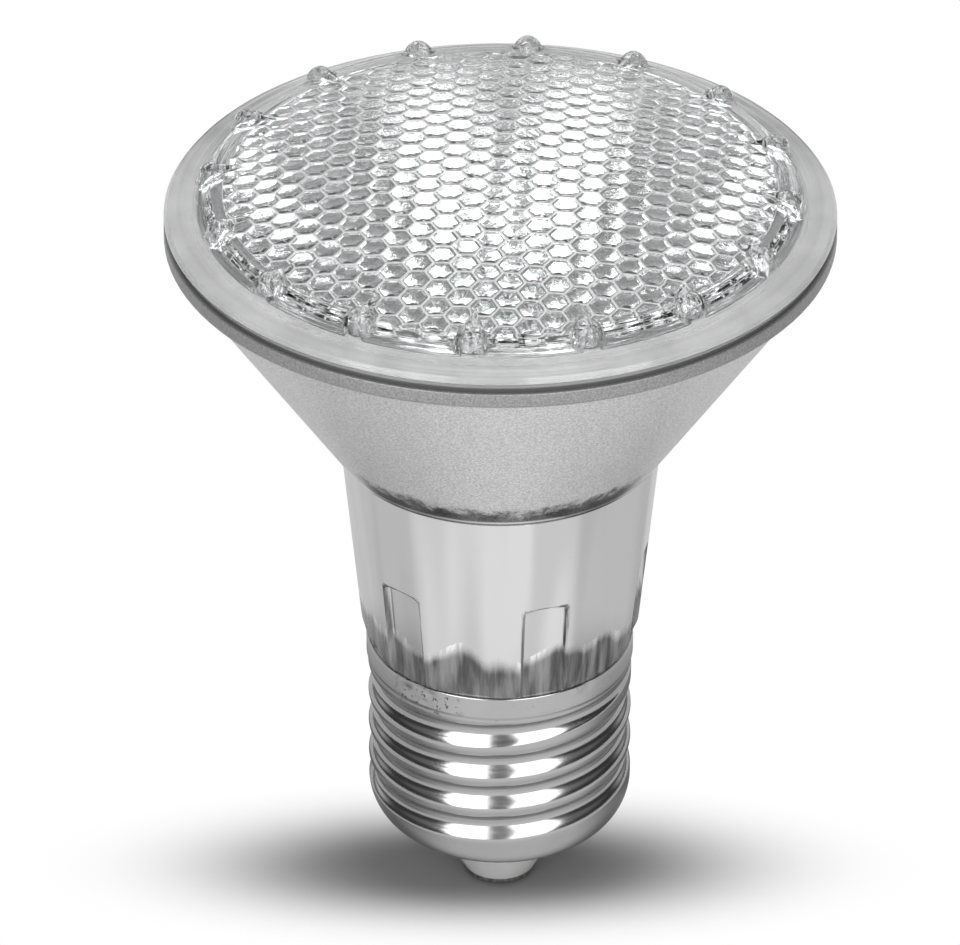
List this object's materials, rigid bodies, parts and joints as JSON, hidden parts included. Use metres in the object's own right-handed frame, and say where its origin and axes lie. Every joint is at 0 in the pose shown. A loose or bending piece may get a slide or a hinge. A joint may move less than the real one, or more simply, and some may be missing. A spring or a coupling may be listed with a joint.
{
  "type": "par spotlight bulb",
  "caption": "Reflector spot lamp with a clear honeycomb lens ringed by nubs, a frosted conical glass bowl, a silvered panelled neck and a nickel screw cap for a medium screw lampholder.",
  "frame": {"origin": "lowest point of the solder bead on the centre contact, on the lamp axis", "axes": "+Z along the lamp axis from the screw cap to the lens, +X to the right in the picture"},
  "size_m": [0.0644, 0.0644, 0.082],
  "materials": {
    "lens_glass": "clear pressed glass",
    "reflector_glass": "frosted bowl, silvered inside and at the neck",
    "seal_adhesive": "cured adhesive",
    "quartz": "clear quartz",
    "tungsten": "drawn wire",
    "foil_metal": "rolled foil",
    "pin_metal": "drawn wire",
    "ferrule_metal": "pressed",
    "wire_metal": "tinned wire",
    "weld_metal": "as welded",
    "cement": "cast cement",
    "nickel_shell": "bright nickel plate",
    "insulator_glass": "pale opaque glass",
    "contact_metal": "tarnished tin plate",
    "solder": "dull solder"
  },
  "bodies": {
    "root": {"front_lens": "lens_glass", "rim_seal": "seal_adhesive", "reflector_body": "reflector_glass", "burner_envelope": "quartz", "filament": "tungsten", "filament_foot_lead": "tungsten", "filament_top_lead": "tungsten", "pinch_foil_left": "foil_metal", "pinch_foil_right": "foil_metal", "burner_pin_left": "pin_metal", "burner_pin_right": "pin_metal", "floor_ferrule_left": "ferrule_metal", "floor_ferrule_right": "ferrule_metal", "contact_lead": "wire_metal", "shell_lead": "wire_metal", "shell_weld": "weld_metal", "cap_cement": "cement", "screw_shell": "nickel_shell", "cap_insulator": "insulator_glass", "centre_contact": "contact_metal", "contact_solder": "solder"}
  },
  "joints": []
}
